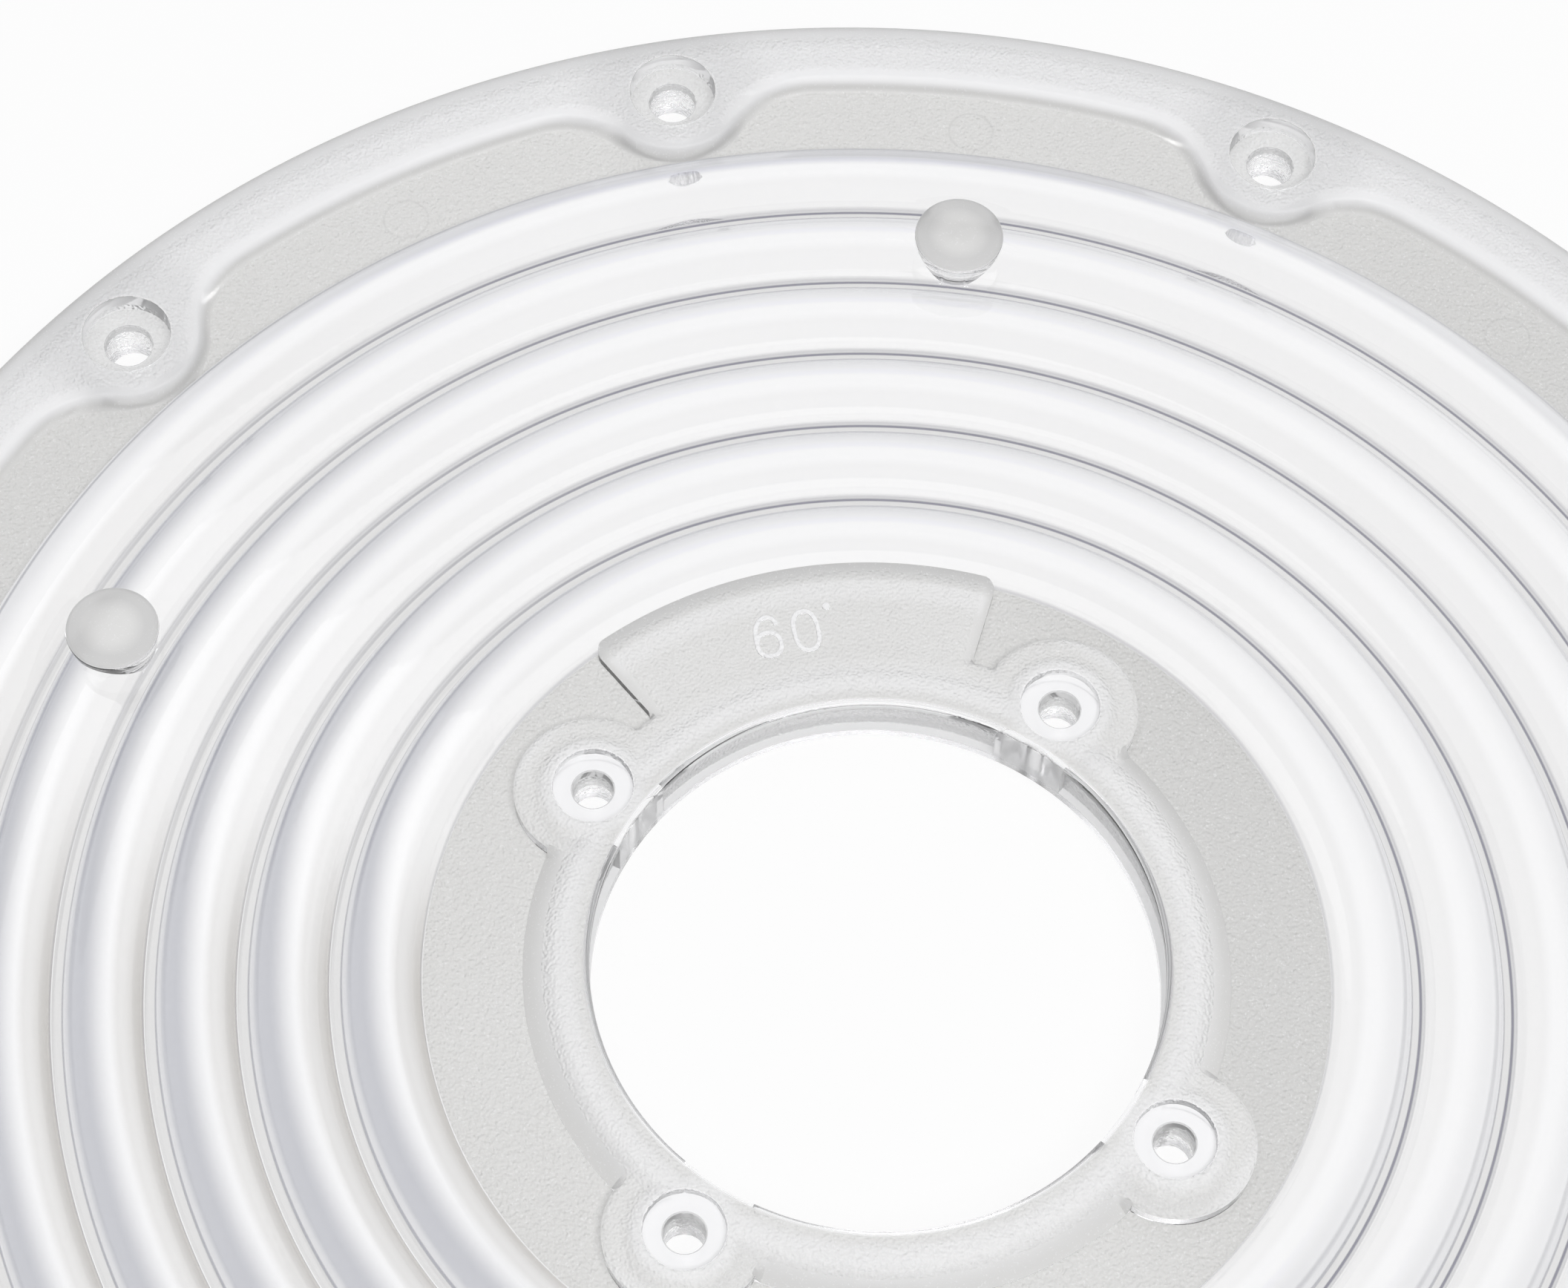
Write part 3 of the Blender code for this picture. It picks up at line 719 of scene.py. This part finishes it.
# Painted light on the raised levels, and painted highlights on the crown, on the pad and round the seats.
raised_painted_light = height.between(7.4, 8.7) * (0.12 + 0.73 * on_flange)
crown_light = radius.band(33.0, 34.6, 35.4, 38.8)
pad_light = radius.band(45.0, 47.0, 48.2, 49.0) * height.between(8.3, 8.6)
nearest_screw = start.math("MINIMUM", from_rim_screw, from_hub_screw)
seat_painted_highlight = nearest_screw.under(5.3, 6.6) * height.between(8.0, 8.5)
# Painted shade where the ground tilts away, on the flange's shoulder and on the pad's rim.
tilt_painted_shade = facing.under(0.75, 0.985) * (1 - bank_painted_highlight) * (1 - 0.8 * on_flange)
shoulder_painted_shade = on_flange * radius.between(124.4, 126.2) * radius.between(126.8, 128.4, 1.0, 0.3)
pad_rim_painted_shade = radius.band(48.0, 50.4, 51.4, 51.6) * height.between(7.2, 7.4)
pin_mark = from_pin.band(2.5, 2.65, 2.75, 2.95)
# The ground's own tone and pin marks, with painted glints, painted light and painted shade laid over them.
ground_and_painted_light = painted(
    cloud.colours(*GROUND),
    [
        (height.under(FLAT + 0.05, FLAT + 0.3) * side_shade, grey(0.36, -0.01)),
        (raised_painted_light, grey(0.975)),
        (crown_light.highest(seat_painted_highlight) * 0.55 + pad_light * 0.4, grey(0.98)),
        (near_screw * 0.22, grey(0.45)),
        (tilt_painted_shade * 0.12, grey(0.40, 0.01)),
        ((shoulder_painted_shade * 0.2).highest(pad_rim_painted_shade * 0.5), grey(0.45)),
        # Painted shade where the ground is seen edge-on.
        (rim.between(0.25, 0.8) * 0.2, grey(0.40, 0.01)),
        (painted_glints.between(0.66, 0.8) * 0.4, grey(0.99)),
        (pin_mark * 0.12, grey(0.2)),
        # Painted highlight on the bank, weaker on the left, and the numerals white.
        ((bank_painted_highlight * (0.95 - 0.5 * west)).highest(numeral), grey(1.0)),
        # Painted shade towards the edge of the knobs' tops.
        (knob_top * facing.between(0.996, 0.9997, 0.45, 0.0), grey(0.45)),
    ],
)

# The shaders. A front face is clear plastic with some haze where it is ground, and a face met from inside is
# plain clear plastic, a little dull on the underside.

surface = frost.colours(clear_with_painted_shade, ground_and_painted_light)
dulled = (height.under(4.6, 4.78) * 0.25).highest(in_bore * height.between(8.6, 8.9, 0.10, 0.0))
surface.into(shader, "Base Color")
(frost * 0.42 + 0.02).highest(dulled).into(shader, "Roughness")
bumps.into(shader, "Normal")
shader.inputs["Transmission Weight"].default_value = 1.0
shader.inputs["IOR"].default_value = INDEX
clear = Wire(plastic.node_tree, shader.outputs[0])
haze = start.node("BsdfPrincipled", {"Base Color": surface, "Roughness": 0.55, "IOR": INDEX, "Normal": bumps})
inner_settings = {"Base Color": CLEAR, "IOR": INDEX, "Transmission Weight": 1.0}
inner = start.node("BsdfPrincipled", inner_settings | {"Roughness": dulled.highest(0.02)})
seat_floor = in_seat * upper * facing.between(0.9, 0.98)
share = (frost * 0.65).highest(seat_floor * 0.6, seat_wall * 0.5, hole * 0.4, bore_wall * 0.45)
front = start.node("MixShader", {0: share, 1: clear, 2: haze})
mixed = start.node("MixShader", {0: inside, 1: front, 2: inner})
mixed.into(plastic.node_tree.nodes["Material Output"], "Surface")
body.data.materials.clear()
body.data.materials.append(plastic)

# The floor and the room. A pale sweep lies under the plate, and shows white through the plastic. The room
# lights the plate only dimly, and mirrors in it as white near the floor and greyer overhead.

PAPER = 0.86
PAPER_GLOW = 0.92
FLOOR_DROP = 0.2


def rays(start):
    """Camera rays, and rays that come by a reflection or through something clear."""
    kinds = ("Camera", "Glossy", "Transmission")
    seen, mirrored, refracted = [start.node("LightPath", output=f"Is {kind} Ray") for kind in kinds]
    return seen, start.math("MINIMUM", mirrored + refracted, 1.0)


shape = bmesh.new()
bmesh.ops.create_grid(shape, x_segments=1, y_segments=1, size=6)
bmesh.ops.translate(shape, verts=shape.verts, vec=(0, 0, -FLOOR_DROP * MM))
floor = named("floor", shape)
paper, _, start = new_material("paper")
seen, through = rays(start)
matt = start.node("BsdfDiffuse", {"Color": grey(PAPER)})
glow = start.node("Emission", {"Color": grey(1.0), "Strength": 1.0})
mixed = start.node("MixShader", {0: (seen + through) * PAPER_GLOW, 1: matt, 2: glow})
mixed.into(paper.node_tree.nodes["Material Output"], "Surface")
paper.cycles.emission_sampling = "NONE"
floor.data.materials.append(paper)

world = bpy.data.worlds.new("studio")
world.use_nodes = True
bpy.context.scene.world = world
start = Wire(world.node_tree)
up = start.node("TexCoord", output="Generated").parts()[2]
room = up.between(0.3, 0.9).colours((0.24, 0.24, 0.26, 1), (0.42, 0.42, 0.43, 1))
sweep = up.between(0.4, 0.95).colours(grey(1.0), (0.72, 0.72, 0.74, 1))
seen, through = rays(start)
seen.colours(through.colours(room, sweep), grey(1.0)).into(world.node_tree.nodes["Background"], "Color")
world.cycles.sampling_method = "NONE"
bounces = bpy.context.scene.cycles
bounces.max_bounces = bounces.transmission_bounces = 9
bounces.diffuse_bounces = 2

# The lamps. A soft key stands high on the near side, as a window would, and a broader and weaker lamp hangs
# overhead. Neither mirrors in the rings.

KEY_WATTS = 6.5
OVERHEAD_WATTS = 3


def lamp(name, size, power, place):
    """A soft lamp that points at the plate."""
    light = bpy.data.lights.new(name, "AREA")
    light.shape = "RECTANGLE"
    light.size, light.size_y = size
    light.energy = power
    item = bpy.data.objects.new(name, light)
    item.location = place
    item.visible_glossy = False
    item.rotation_euler = (-Vector(place)).to_track_quat("-Z", "Y").to_euler()
    bpy.context.scene.collection.objects.link(item)


lamp("key", (0.6, 0.5), KEY_WATTS, (0.1, -0.5, 1.0))
lamp("overhead", (1.2, 0.8), OVERHEAD_WATTS, (-0.3, 0.3, 1.5))

# The camera. It stands at the photograph's place, which was solved from the bore, the valleys between the
# rings and the screws' holes.

VIEW_FROM = Vector((-0.06174, -0.19398, 0.4497))
VIEW_ALONG = Vector((0.1183, 0.4674, -0.8761)).normalized()
ROLL = 0.0516
LENS = 100.3

camera = bpy.data.cameras.new("camera")
camera.sensor_width = 36
camera.lens = LENS
camera.clip_start = 0.01
viewer = bpy.data.objects.new("camera", camera)
side = VIEW_ALONG.cross(Vector((0, 0, 1))).normalized()
above = side.cross(VIEW_ALONG)
frame_side = side * math.cos(ROLL) + above * math.sin(ROLL)
frame_up = above * math.cos(ROLL) - side * math.sin(ROLL)
turned_frame = Matrix((frame_side, frame_up, -VIEW_ALONG)).transposed().to_4x4()
viewer.matrix_world = Matrix.Translation(VIEW_FROM) @ turned_frame
bpy.context.scene.collection.objects.link(viewer)
bpy.context.scene.camera = viewer
bpy.context.scene.view_settings.view_transform = "Standard"
